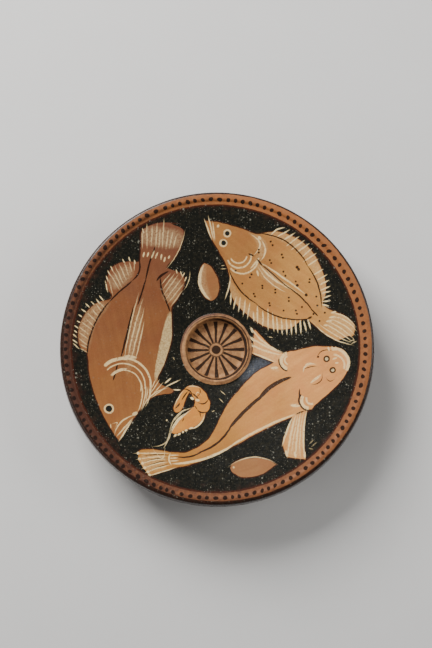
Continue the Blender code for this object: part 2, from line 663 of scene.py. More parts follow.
BREAM = Figure(
    name="bream",
    clay=seen(113, 67, 42),
    clay_at_end=seen(142, 90, 40),
    run=(158, 235, 119, 425),
    wash_turn=100.0,
    outlines=(
        Outline(
            axis=((170, 221.6), (119.5, 440.5)),
            one_edge=(
                (170, 221.6), (162, 221.4), (152, 223.5), (146, 226.5), (141, 230.5), (140.5, 246),
                (139.5, 260), (128, 261), (117, 263.5), (109, 271), (106.5, 280), (108, 290), (111.5, 296.5),
                (101, 301), (91, 307), (82.5, 318), (78.5, 330), (78.5, 341), (81, 348), (87, 354),
                (88.5, 361), (89, 371), (93.5, 390), (101, 410), (112, 430), (119.5, 440.5),
            ),
            other_edge=(
                (170, 221.6), (174.5, 222.7), (179, 226), (184, 232), (182, 241), (175, 257), (166.5, 268),
                (177, 271), (184.5, 279), (184, 285), (178, 298), (171.5, 309), (171.8, 315), (172, 330),
                (171.5, 341), (169, 350), (166, 360), (162, 370), (158, 378), (163, 386), (174, 390.3),
                (163, 394.5), (152, 398), (143, 407), (131, 423), (119.5, 440.5),
            ),
        ),
    ),
    touches={
        Layer.WASH: (
            Strokes(15.0, ((140, 234, 183, 239),), blunt=True),
            Strokes(11.5, (
                (111, 286, 131, 268), (85, 347, 88, 322, 105, 303), (167, 301, 177, 279),
            ), blunt=True),
            Strokes(7.0, ((129, 366, 140, 308),)),
        ),
        Layer.LINE: (
            Strokes(1.35, (
                (138.5, 258, 139, 271, 132, 280.5), (132, 280.5, 120, 291, 109, 302),
                (109.5, 301.5, 97, 319, 89.5, 341), (90.5, 334, 88, 346, 87, 356),
                (160.5, 278, 161, 287, 165, 298), (164, 295, 167, 303.5, 170, 312),
                (155.5, 245, 149.5, 262, 145.5, 281), (145.8, 279, 141.5, 293, 137.5, 305),
            ), blunt=True),
            Strokes(1.9, ((168.5, 271, 161, 275.5, 156.5, 281), (133.5, 306, 127, 335, 120.8, 358.5))),
            Strokes(1.3, ((117.6, 364, 116, 372), (115.5, 373, 113.5, 380.5))),
        ),
        Layer.WHITE: (
            Strokes(1.15, (
                (141.8, 231, 142.2, 247), (146.3, 223, 147, 247), (152, 226, 151, 245),
                (157, 223, 155.5, 246), (160, 229, 158.5, 247), (163.6, 219, 162, 247), (168, 229, 166, 248),
                (172.5, 231, 169.5, 247), (176.5, 234, 173, 247),
            ), strength=0.6),
            Strokes(0.9, (
                (109, 280, 112.5, 295), (109.5, 273, 119, 289), (112, 269, 121, 286), (115, 266, 123, 283),
                (119, 264, 126, 279), (124, 262, 128.5, 275), (129, 262, 131.5, 271), (134, 261, 134, 270),
                (99.5, 302, 104, 307.5), (96, 304, 101, 311), (92, 309, 97.5, 315.5), (88, 313.5, 95.5, 321),
                (86, 319, 94, 326.5), (82, 322, 92, 330), (79.5, 327, 89, 334.5), (79.5, 333, 87.5, 338.5),
                (79.5, 339, 87.5, 345), (81, 344.5, 87, 348), (80.5, 348.5, 87, 352.5),
                (161.5, 284, 170, 274), (163, 289, 174, 274), (164, 294, 178, 274.5), (166, 299, 182, 278),
                (168, 303, 183, 284), (171, 306, 182, 291),
            ), strength=0.62),
            Strokes(0.95, (
                (141.8, 227.5, 143.5, 232.5), (105, 281, 107.5, 291.5), (105.8, 275.5, 108, 281),
                (107.5, 270, 110.5, 275.5), (110.5, 266, 113, 271), (122.3, 258.5, 125, 263),
                (128.6, 256.5, 130, 261), (134, 259.5, 135, 263.5), (99.3, 295.5, 103.5, 300.5),
                (96, 299, 99.8, 304), (91, 301.5, 94.3, 304.5), (85.5, 303.5, 89.3, 307.5),
                (81.5, 309, 86, 312.3), (78.5, 314.5, 82, 317), (77, 321, 80.5, 322.5),
                (74.5, 325.8, 78.5, 328.3), (74, 330.3, 77, 332.8), (72.8, 334, 76.5, 337.5),
                (72.5, 339.5, 77.5, 343), (73.5, 343.5, 79, 348.5), (176, 269, 177, 273.5),
                (180.5, 271, 181.8, 275.5), (184.5, 272.5, 182, 277), (186.3, 276.5, 184.3, 281),
            )),
            Strokes(1.35, (
                (144.3, 251.5, 143, 256.5), (148.3, 251.5, 147, 256.5), (154, 250, 151, 258),
                (157.8, 251.5, 155, 258), (161.5, 253.5, 161, 259.5), (165, 256.5, 164, 261.5),
                (169.5, 255, 168, 258.5),
            )),
            Strokes(0.6, ((190, 273, 188.5, 281, 185, 288), (184, 234, 178.5, 250, 169, 265))),
            Strokes(1.15, (
                (137.5, 297, 130.5, 326, 124.8, 356), (141.7, 302, 135, 326, 128.5, 356),
                (143.5, 311, 137.3, 335, 132, 357), (143.7, 323, 140, 341, 135.5, 360),
            ), strength=0.85),
            Strokes(1.25, (
                (134, 415.5, 124, 420, 115.5, 433), (132.5, 419, 118, 435.5), (132, 421, 120, 440),
                (165, 383.5, 171, 378.5), (173.5, 389.8, 180.5, 390.3),
            )),
            Strokes(2.8, ((123.5, 356.5, 137, 358), (132.5, 415, 138, 412.5)), strength=0.85),
            Arc(2.7, (124, 385), 26.8, 108, 26),
            Arc(1.6, (124, 385), 26.8, 60, 76),
            Arc(1.05, (123.3, 385.5), 22.0, 64, 72),
            Arc(1.7, (124.8, 386.3), 17.0, 112, 28),
            Arc(0.95, (124.8, 387), 16.6, 62, 76),
            Strokes(1.0, (
                (150.3, 380, 150.8, 391, 146.5, 405), (144.7, 380, 145.7, 393, 142, 408),
                (141.8, 384, 142.5, 396, 138.5, 411), (112, 424.5, 116.5, 422.5, 115.5, 428),
                (165.5, 387.5, 172, 384, 179.5, 380.5), (143, 408, 152, 395.5, 166, 388.5),
            )),
            Strokes(0.8, (
                (152, 388, 156, 379.5), (151, 393, 159, 381), (151, 397, 162, 384), (153, 397, 166, 387),
                (148.5, 402, 151, 386), (146.5, 400, 148, 388), (111, 424, 111.5, 428),
            )),
            Dots(4.1, ((109.4, 408.8),)),
        ),
        Layer.SPOT: (
            Dots(2.75, ((109.4, 408.8),)),
        ),
    },
)

FLATFISH = Figure(
    name="flatfish",
    clay=seen(146, 95, 46),
    clay_at_end=seen(188, 134, 66),
    run=(212, 230, 300, 290),
    wash_turn=-38.0,
    lines_last=True,
    outlines=(
        Outline(
            axis=((205, 219.5), (353.5, 335.5)),
            one_edge=(
                (205, 219.5), (220, 221.5), (240, 227), (257, 232.8), (269, 231.2), (280, 230.8),
                (292, 234.8), (303.5, 241.5), (313.5, 252), (321, 266.5), (325.5, 280), (326, 293),
                (324, 305), (330, 309.5), (345, 316), (352, 321.5), (355, 328), (353.5, 335.5),
            ),
            other_edge=(
                (205, 219.5), (211, 237), (219, 251), (226, 264), (229.5, 277), (230, 289), (235, 302.5),
                (248, 315.5), (262, 325.5), (276, 329.5), (290, 328.5), (308, 320), (320, 330), (336, 340),
                (347, 343.5), (352, 337), (353.5, 335.5),
            ),
        ),
    ),
    touches={
        Layer.WASH: (
            Strokes(8.0, ((268, 231, 306, 251, 324, 304), (229, 282, 250, 316, 309, 324)), blunt=True),
            Strokes(7.0, ((257, 263, 267, 275, 281, 287), (253, 233, 262.5, 246, 256, 261))),
            Strokes(20.0, ((331, 317, 352, 334),), blunt=True),
        ),
        Layer.LINE: (
            Strokes(1.2, (
                (258, 232.5, 289, 242.5, 309, 268), (308, 266, 317.5, 283, 321.5, 307),
                (229, 269, 241, 291, 257, 304), (255, 303, 281, 317.5, 311, 318.5),
                (287, 286, 301, 297, 313, 311), (311, 309, 318, 316),
            ), blunt=True),
            Strokes(1.6, ((248.5, 253, 254, 255.5), (257, 258.5, 263, 265.5), (307.5, 319, 312, 316.5))),
            Strokes(1.1, ((262, 264.5, 276, 276.5, 290, 289),), blunt=True),
            Dots(0.85, (
                (271, 241), (273, 244.5), (282, 254), (283, 257), (270, 259.5), (271.5, 262.5),
                (283.5, 271.5), (285.5, 275.5), (251.5, 274), (250, 277), (310, 279), (309.5, 282),
                (296, 281), (242.5, 283.5), (262.5, 285.5), (262.5, 288), (275.5, 289.5), (275.5, 292.5),
                (254, 294), (255, 296.5), (289, 297.5), (289, 301), (316.5, 296.5), (269.5, 303),
                (270, 305.5), (302, 307), (317.5, 305.5), (283.5, 310.5), (296, 310.5), (297, 314),
                (313.5, 314), (325, 312.5), (319.5, 321), (259, 249), (259, 252), (235.5, 270.3),
            )),
            Dots(1.25, ((297.3, 266.8), (298.8, 269), (306.3, 294.8), (297.3, 285))),
        ),
        Layer.WHITE: (
            Strokes(1.15, (
                (204.5, 219, 211.5, 238), (208.5, 216, 213.8, 239), (212.5, 221, 215, 239),
                (270.5, 235, 276, 229.5, 284.5, 226.5), (276.5, 236.5, 289.5, 229), (283, 240, 295, 232),
                (287, 245, 299, 236), (291.5, 249, 304.5, 240), (297, 252, 309, 243), (303, 256, 312, 248),
                (304, 261, 316, 253), (308, 265, 318, 258.5), (313, 275, 323, 269), (317, 280, 327, 274.5),
                (319, 285, 329, 280), (320, 290.5, 330, 286), (322, 293.5, 330.5, 290.8),
                (323, 298, 331, 295.3), (322.5, 301.5, 330.5, 300.5), (322, 304.5, 329, 305.5),
                (230.5, 274, 228.5, 289, 225.5, 298), (231, 293, 230.5, 304.5), (236, 297, 233.5, 309),
                (240.5, 297, 238.5, 311.5), (245.5, 300, 243, 316), (250, 303, 247.5, 318.5),
                (253.5, 312, 254, 321.5),
            )),
            Strokes(1.3, (
                (257.5, 306, 257.5, 323), (263, 311, 262.8, 326), (268, 309, 268.3, 329.5),
                (272.5, 313, 274, 331), (276.5, 317, 278, 332.5), (281.3, 319, 282.3, 334.5),
                (286.3, 319, 287, 334.5), (290.5, 320, 291.8, 334.5), (295.3, 320, 296.3, 334),
                (300.3, 319, 301, 333.5), (304, 321, 306.2, 331), (308, 319.5, 310.5, 329),
            )),
            Strokes(1.5, (
                (252, 234, 260, 244.5, 254.5, 254), (331, 313, 336, 311.5), (329, 317.5, 335, 316.5),
                (326, 321.5, 332, 321), (323.5, 325, 328, 325.5), (257, 270, 258.5, 276),
            )),
            Strokes(1.4, (
                (262, 240, 265.5, 249, 261, 260), (263, 263.5, 283, 277, 304, 293),
                (261, 266, 271, 277, 283, 285), (258.5, 258, 255, 263, 251, 268),
            )),
            Strokes(0.8, (
                (259, 268, 270, 282, 284, 291), (269, 272, 280, 283, 293, 290),
                (264, 266, 284, 283, 297, 292),
            )),
            Strokes(0.95, (
                (333, 313, 345, 316.5, 354.5, 325.5), (333, 316.5, 345, 320.5, 355.5, 329.5),
                (331, 319.5, 343, 324.5, 353.5, 333.5), (329, 322, 341, 328.5, 351.5, 337),
                (326, 324, 338, 331.5, 350, 340), (321, 325.5, 335, 335, 348, 341.5),
                (315, 325, 332, 338, 349.5, 344.5),
            )),
            Arc(1.2, (238.6, 254.3), 8.2, -82, 72),
            Arc(1.3, (239.2, 255.3), 12.0, -75, 84),
            Arc(1.3, (242.5, 257), 16.0, -70, 68),
            Strokes(2.4, ((259, 235.5, 261, 239), (217, 224.5, 219, 225.5))),
            Dots(3.3, ((227.3, 232.5), (223.3, 242.5))),
        ),
        Layer.SPOT: (
            Dots(2.05, ((227.3, 232.5), (223.5, 242.3))),
        ),
    },
)

BROAD_HEADED_FISH = Figure(
    name="broad_headed_fish",
    clay=seen(214, 148, 80),
    clay_at_end=seen(168, 114, 42),
    run=(320, 372, 190, 450),
    wash_turn=32.0,
    outlines=(
        Outline(
            axis=((349, 358), (139, 460)),
            one_edge=(
                (349, 358), (347, 354), (340, 348.5), (326, 346.5), (310, 347), (296, 350.5), (284, 353.5),
                (273, 363), (260, 370), (248, 380), (238, 391), (229, 402), (221, 416), (214, 430),
                (205, 442), (192, 450), (175, 452), (158, 449.6), (147, 449), (139.5, 450.5), (138.8, 455),
                (139, 460),
            ),
            other_edge=(
                (349, 358), (349, 364), (347, 371), (340, 382), (328, 394), (316, 404), (308, 411.5),
                (291, 417.5), (275, 424.5), (255, 434.5), (235, 445.5), (215, 454.5), (195, 463),
                (172, 468.5), (160, 472), (150, 475), (146, 470), (141.5, 465), (139, 460),
            ),
        ),
        Outline(
            axis=((284, 352), (252.5, 350)),
            one_edge=((284, 354), (276, 350), (268, 343.5), (262, 337), (256, 331), (252.5, 329)),
            other_edge=((282, 367), (273, 362.5), (262, 358), (252.5, 354)),
        ),
        Outline(
            axis=((300, 407), (293.7, 458)),
            one_edge=((307, 408), (304.5, 420), (303.2, 435), (304, 450), (305, 458)),
            other_edge=((291, 409), (291.5, 420), (287, 430), (282.5, 442), (284.5, 452), (287.5, 458)),
        ),
    ),
    touches={
        Layer.WASH: (
            Strokes(12.0, ((251, 343, 282, 360), (297, 414, 294, 460)), blunt=True),
            Strokes(16.0, ((141, 463, 166, 459.5),), blunt=True),
            Strokes(3.2, ((335, 348, 345.5, 358, 346, 372),)),
            Strokes(3.4, ((278, 370.5, 270, 367), (290, 405.5, 300, 405.5))),
        ),
        Layer.LINE: (
            Strokes(3.5, ((291, 377.5, 273, 385.5, 258, 400),), blunt=True),
            Strokes(2.9, ((266, 393, 248, 408, 229, 428.5),), blunt=True),
            Strokes(1.8, ((232, 424.5, 217, 443, 198, 452.5),), blunt=True),
            Strokes(1.4, ((204, 450, 190, 456.5, 176, 456.5),)),
            Strokes(0.8, (
                (143.5, 455.8, 156, 454.3, 168, 455.2), (146, 461.5, 156, 458.6, 166, 458),
                (147.5, 466, 157, 462.5, 166, 460.7), (150, 470.5, 159, 466.8, 168, 463.8),
            )),
            Arc(1.5, (289, 361), 9.9, 215, 46),
            Arc(1.6, (309, 400.2), 10.4, 212, 66),
            Strokes(1.2, (
                (299.3, 389, 298.6, 399), (303, 409, 308, 411, 313, 408.5), (295.5, 414.3, 304, 411),
            )),
            Strokes(0.8, (
                (317, 357, 323, 350.7, 331.5, 350.8), (326, 378, 329, 381, 334, 379.3),
                (312, 384.7, 319.5, 382, 322.3, 374.5), (303, 370, 309, 367.3, 316, 366.5),
            )),
            Dots(0.9, ((318, 357),)),
            Dots(2.7, ((326.4, 359), (332.3, 370.3))),
        ),
        Layer.WHITE: (
            Strokes(1.9, (
                (293, 415, 262, 428.3, 230, 446.3), (236, 442.8, 208, 457.3, 173, 463.5),
            ), blunt=True),
            Arc(2.4, (334, 363), 14.2, 32, 64),
            Arc(1.6, (332.6, 366), 11.6, 35, 50),
            Arc(2.5, (289, 361), 7.9, 182, 76),
            Arc(1.3, (289, 360.3), 4.5, 182, 68),
            Arc(2.6, (309.2, 400.6), 7.9, 204, 58),
            Arc(1.6, (311, 399.2), 5.0, 226, 66),
            Strokes(2.0, ((303, 372, 305.5, 366, 315, 364.3), (310.5, 383, 315, 379.5, 320.5, 375))),
            Strokes(1.4, (
                (332.5, 359.5, 337, 357.5), (335, 363, 338.5, 363), (328, 347, 329, 351),
                (331.7, 346.5, 332.7, 350.5), (335.5, 347, 336.3, 350.5),
                (170.5, 453.5, 169.3, 459, 171.5, 464.5),
            )),
            Strokes(1.0, ((170, 455, 178.5, 455), (170, 457.8, 178, 457.8), (170, 460.5, 178.5, 460.5))),
            Strokes(2.2, ((290.5, 405.5, 299.5, 406), (271, 368.5, 278, 368))),
            Strokes(1.5, (
                (251, 328.5, 264, 342.5, 281, 352), (250, 337, 263, 345, 280, 352.5),
                (249.5, 343.5, 262, 350, 281, 355), (253, 353.3, 262, 356.8, 274, 361.8),
            )),
            Strokes(2.0, ((251, 328, 253, 333), (250.5, 337.5, 255, 341.5), (250, 343.5, 254.5, 347.5))),
            Strokes(1.5, (
                (292, 418, 287, 430, 282, 445), (295, 416, 290, 437, 287, 455.5),
                (300, 414, 296.5, 437, 295, 456), (306, 412, 303, 433, 304, 456.5),
            )),
            Strokes(1.9, (
                (285.3, 450, 287, 456.5), (294.2, 451.5, 295, 457), (303.6, 451, 304.2, 457.5),
            ), blunt=True),
            Strokes(0.8, ((297.5, 416, 293.5, 436, 291, 452), (303, 414, 299.5, 436, 299.5, 456))),
            Strokes(0.9, (
                (136.5, 453, 152, 453, 168, 453.3), (139, 459, 152, 457, 166, 456),
                (142, 463.5, 153, 460, 166, 458.7), (144, 467.8, 155, 464, 167, 461.8),
                (147, 471.8, 157, 468, 169, 465), (148.5, 475.3, 160, 472, 175, 467.5),
            )),
            Dots(1.15, (
                (138.5, 453), (140, 458.8), (143, 463), (145.3, 467.3), (148.5, 471.3), (150, 474.6),
            )),
            Dots(1.3, ((326.4, 359.1), (332.3, 370.4))),
        ),
    },
)

SHRIMP = Figure(
    name="shrimp",
    clay=seen(200, 132, 50),
    outlines=(
        Outline(  # the forked tail, folded in
            axis=((187.5, 390), (176, 412.7)),
            one_edge=(
                (187.5, 390), (183, 390.5), (180, 395), (177, 401), (174, 406.5), (174, 410.5), (176, 412.7),
            ),
            other_edge=(
                (187.5, 390), (189, 393.5), (187, 397), (185, 402), (183, 408), (180, 412), (176, 412.7),
            ),
        ),
        Outline(  # the bent back
            axis=((184, 389.5), (207, 412.5)),
            one_edge=(
                (184, 389.5), (188, 386.5), (193, 386), (199, 387), (203, 390), (206.5, 394), (208.5, 399),
                (210, 402), (209.5, 408), (207, 412.5),
            ),
            other_edge=(
                (184, 389.5), (188, 391.5), (191, 394.5), (194, 398.5), (195, 402), (194.5, 407), (198, 411),
                (207, 412.5),
            ),
        ),
        Outline(  # the body
            axis=((203, 404), (171.5, 432.5)),
            one_edge=((203, 404), (195, 406), (190, 410), (186, 414), (181, 419), (175, 426), (171.5, 432.5)),
            other_edge=(
                (203, 404), (207, 409), (206, 413), (203, 420), (199, 424), (192, 428), (184, 431),
                (176, 434), (171.5, 432.5),
            ),
        ),
    ),
    touches={
        Layer.LINE: (
            Strokes(1.25, (
                (184, 389.5, 189.5, 391, 192.5, 397), (192.5, 393.5, 195.5, 396, 198.5, 399.5),
                (197.5, 402.5, 203.5, 404, 208.8, 399.3), (197, 409.8, 201, 412.8, 207, 411.8),
                (188, 391.5, 184.5, 396, 182, 400.5), (179.8, 403, 178, 406.5, 175.3, 408.8),
            )),
            Strokes(0.8, (
                (199.3, 388, 200.3, 393, 196.5, 397), (199.5, 412, 200.8, 417), (183.8, 418, 182.5, 421.5),
                (195, 406, 197, 409.5), (192.5, 399, 193.5, 404),
            )),
        ),
        Layer.WHITE: (
            Strokes(2.1, ((190.8, 397.5, 193.8, 399.5), (195.3, 400, 199.5, 400.5))),
            Strokes(1.2, (
                (204.8, 415, 201.5, 422.5, 190, 429), (172, 432, 179, 420.5, 190, 411),
                (171.5, 430.5, 176, 422, 184, 414.5),
            )),
            Strokes(1.5, (
                (174, 436.8, 177, 434.3), (178, 435.3, 180.5, 433.3), (182, 432.9, 184, 431.5),
                (185, 431, 188, 430), (189.5, 429, 193, 427.5),
            )),
            Strokes(0.75, (
                (187.5, 387.3, 193, 386.3, 199.5, 387.8), (183, 391.5, 178, 399, 174.8, 406.5),
                (196, 396.5, 199, 393, 201, 395),
            )),
            Strokes(0.9, (
                (192, 408.2, 178, 415, 170, 433), (189, 409.5, 183.5, 410.8, 179.5, 413.5),
                (170, 431, 167.5, 441, 164.5, 447), (165, 445, 159, 456, 153.5, 448.5),
                (171, 431, 167, 441.5, 156, 446.3), (183, 411.5, 171.5, 423),
            ), strength=0.7),
            Dots(0.6, ((167.2, 420.5),)),
        ),
    },
)

SHELLS = Figure(
    name="shells",
    clay=seen(150, 101, 57),
    outlines=(
        Outline(
            axis=((204, 262.5), (210.8, 301)),
            one_edge=(
                (204, 262.5), (201, 266.5), (199.2, 275), (199.3, 284), (201.5, 291.5), (205.5, 298),
                (210.8, 301),
            ),
            other_edge=(
                (204, 262.5), (209.5, 265), (214.8, 272), (218.3, 280), (219.5, 287), (218, 294),
                (214.8, 299), (210.8, 301),
            ),
        ),
        Outline(
            axis=((230, 467.5), (276, 464)),
            one_edge=(
                (230, 467.5), (232, 464), (236, 461), (246, 458), (257.5, 457.3), (267.5, 459.5), (276, 464),
            ),
            other_edge=(
                (230, 467.5), (231.5, 471), (235, 474), (245, 477), (257.5, 475.2), (267.5, 470.5),
                (276, 464),
            ),
        ),
    ),
    touches={
        Layer.WASH: (
            Strokes(7.0, ((203, 264, 201.5, 282, 209, 300),), blunt=True),
        ),
        Layer.WHITE: (
            Strokes(2.6, ((203.5, 264.5, 199.6, 281, 209.5, 299.5),), blunt=True),
            Strokes(0.9, ((232, 464, 253, 456.8, 273, 461.8),), strength=0.75),
            Dots(0.7, ((233.5, 467),)),
        ),
    },
)

LOOSE_WHITE = Figure(
    name="loose_white",
    touches={
        Layer.WHITE: (
            Strokes(0.6, (
                (220.5, 391, 225, 395), (219.5, 399, 223, 402.5), (212, 412, 214.5, 411),
                (268, 337, 272.5, 338), (221.5, 265.5, 224.5, 265), (221, 268.7, 226, 268.5),
                (173, 357.5, 174.5, 360), (349, 341.5, 354, 340), (351, 344, 356, 341.5),
                (353, 338, 354, 342),
            ), strength=0.7),
            Strokes(1.0, (
                (309, 443.5, 313, 440), (311, 446.5, 316, 442), (308.5, 448, 312.5, 449),
            ), strength=0.25),
        ),
    },
)

FIGURES = (BREAM, FLATFISH, BROAD_HEADED_FISH, SHRIMP, SHELLS, LOOSE_WHITE)


@dataclass(frozen=True)
class Spot:
    """What the layers of the painting read at a spot on the plate."""

    bench: Bench
    here: Socket  # the spot in millimetres
    place: Socket  # the spot as x, y and 1, strayed a little as a hand strays
    radius: Amount  # from the plate's axis
    turn: Amount  # from the right of the picture, in radians
    unevenness: Amount  # noise of a few millimetres
    grain: Amount  # fine noise
    drift: Amount  # broad noise


@dataclass(frozen=True)
class RimBand:
    """The band of clay along the lip, with its row of black dots, in millimetres."""

    inner_centre: Pair = (-1.3, -0.1)  # it was painted a little off the plate's axis
    inner_radius: float = 118.6
    inner_softness: float = 0.25
    outer_radius: float = 126.0
    outer_softness: float = 0.3
    widened_for_highlight_towards: float = 60.0  # the turn in degrees where the band reaches furthest out, its clay there a painted highlight along the shoulder
    widened_for_highlight_by: float = 0.9
    line_width: float = 1.3  # of the thin red line between the band and the black
    line_fade: Pair = (0.75, 0.3)  # shares of the line's width
    dot_circle: float = 122.6
    dot_radius: float = 1.72
    dot_count: int = 118
    dot_unevenness: float = 4.5  # how much the square of their radius changes
    dot_drift: float = 1.6  # how many spacings they stray along the band
    dot_fade: Pair = (-0.5, 0.6)

    def layers(self, at: Spot) -> tuple[Amount, Amount, Amount]:
        """Draw the band.

        Args:
            at: the spot that it is drawn at.

        Returns:
            How fully the band's clay, its thin inner line and its dots cover the spot.
        """
        inner = at.bench.distance(at.place, Vector(self.inner_centre))
        # the outer edge reaches further out towards the upper right, where its clay is a painted highlight
        # along the shoulder
        outer = at.radius - at.turn.facing(self.widened_for_highlight_towards) * self.widened_for_highlight_by
        clay = inner.outside(self.inner_radius, self.inner_softness).least(
            outer.inside(self.outer_radius, self.outer_softness))
        from_line = abs(inner - (self.inner_radius - self.line_width / 2))
        line = from_line.ramp(*(share * self.line_width for share in self.line_fade))
        strayed = at.turn * (self.dot_count / math.tau) + at.drift * self.dot_drift
        sideways = strayed.to_nearest() * (self.dot_circle * math.tau / self.dot_count)
        outwards = inner - self.dot_circle
        size = at.unevenness.swing(self.dot_unevenness) + self.dot_radius * self.dot_radius
        dots = (size - sideways * sideways - outwards * outwards).ramp(*self.dot_fade)
        return clay, line, dots


@dataclass(frozen=True)
class Medallion:
    """The wheel of rays in the sauce well and the rings around it, in millimetres and degrees."""

    centre: Pair = (-0.8, 0.0)  # it too was painted a little off the axis
    edge_radius: float = 29.6
    edge_softness: float = 0.25
    hub_radius: float = 3.7
    hub_softness: float = 0.3
    hub_line_radius: float = 5.8
    hub_line_fade: Pair = (0.7, 0.2)
    hub_line_strength: float = 0.85
    ray_count: int = 16
    first_ray: float = 91.0
    ray_start: float = 6.0
    ray_start_softness: float = 0.4
    ray_end: float = 23.5
    ray_end_fade: Pair = (24.2, 23.1)
    ray_width_inside: float = 0.92
    ray_width_outside: float = 1.72
    ray_unevenness: float = 0.5
    ray_fade: Pair = (-0.2, 0.25)
    line_radius: float = 24.8
    line_fade: Pair = (0.91, 0.46)
    heavier_towards: float = -10.0
    heavier_by: float = 0.45
    # the line is missing towards the upper left: partly wear, partly a painted highlight on the ring's crest
    wear_and_highlight_towards: float = 150.0
    wear_and_highlight: Pair = (0.95, 0.4)
    crest_line_radius: float = 27.3
    crest_line_fade: Pair = (0.8, 0.35)
    # the crest line fades out towards the lower left: partly wear, partly a painted highlight on the crest
    crest_towards: float = 40.0
    crest_wear_and_highlight: Pair = (-0.7, 0.3)
    crest_strength: float = 0.9
    # painted shade on the outer slope of the ring around the well, towards the upper left
    painted_ring_shade_radii: Pair = (28.0, 28.6)
    painted_ring_shade_towards: float = 130.0
    painted_ring_shade_reach: Pair = (0.2, 0.8)

    def layers(self, at: Spot) -> tuple[Amount, Amount, Amount]:
        """Draw the medallion.

        Args:
            at: the spot that it is drawn at.

        Returns:
            How fully its clay, its black lines and the painted shade on the ring's outer slope cover the
            spot.
        """
        radius, turn = at.bench.around(at.place, Vector(self.centre))
        clay = radius.inside(self.edge_radius, self.edge_softness)
        hub = radius.inside(self.hub_radius, self.hub_softness)
        hub_line = abs(radius - self.hub_line_radius).ramp(*self.hub_line_fade) * self.hub_line_strength
        heavier = turn.facing(self.heavier_towards).ramp(0.0, 1.0) * self.heavier_by
        line = (abs(radius - self.line_radius) - heavier).ramp(*self.line_fade)
        # bare clay where the line is missing: partly wear, partly a painted highlight on the ring's crest
        line = line * turn.facing(self.wear_and_highlight_towards).ramp(*self.wear_and_highlight)
        crest = abs(radius - self.crest_line_radius).ramp(*self.crest_line_fade)
        # crest line faded towards the lower left: partly wear, partly a painted highlight on the crest
        crest = crest * turn.facing(self.crest_towards).ramp(*self.crest_wear_and_highlight) * self.crest_strength
        black = hub.most(hub_line).most(self._rays(at, radius, turn)).most(line).most(crest)
        # painted shade on the ring's outer slope, towards the upper left
        dull_tone_and_shade = clay * radius.ramp(*self.painted_ring_shade_radii) * turn.facing(self.painted_ring_shade_towards).ramp(*self.painted_ring_shade_reach)
        return clay, black, dull_tone_and_shade

    def _rays(self, at: Spot, radius: Amount, turn: Amount) -> Amount:
        """Draw the rays, which widen outwards like clubs.

        Args:
            at: the spot that they are drawn at.
            radius: its distance from the medallion's centre.
            turn: its turn about that centre.

        Returns:
            How fully the rays cover the spot.
        """
        share = radius.ramp(self.ray_start, self.ray_end)
        widening = self.ray_width_outside - self.ray_width_inside
        club = (share * share).times_plus(widening, self.ray_width_inside)
        cell = (turn - math.radians(self.first_ray)) * (self.ray_count / math.tau)
        sideways = cell.to_nearest() * radius * (math.tau / self.ray_count)
        lengthwise = radius.outside(self.ray_start, self.ray_start_softness) * radius.ramp(*self.ray_end_fade)
        return (club + at.unevenness.swing(self.ray_unevenness) - sideways).ramp(*self.ray_fade) * lengthwise


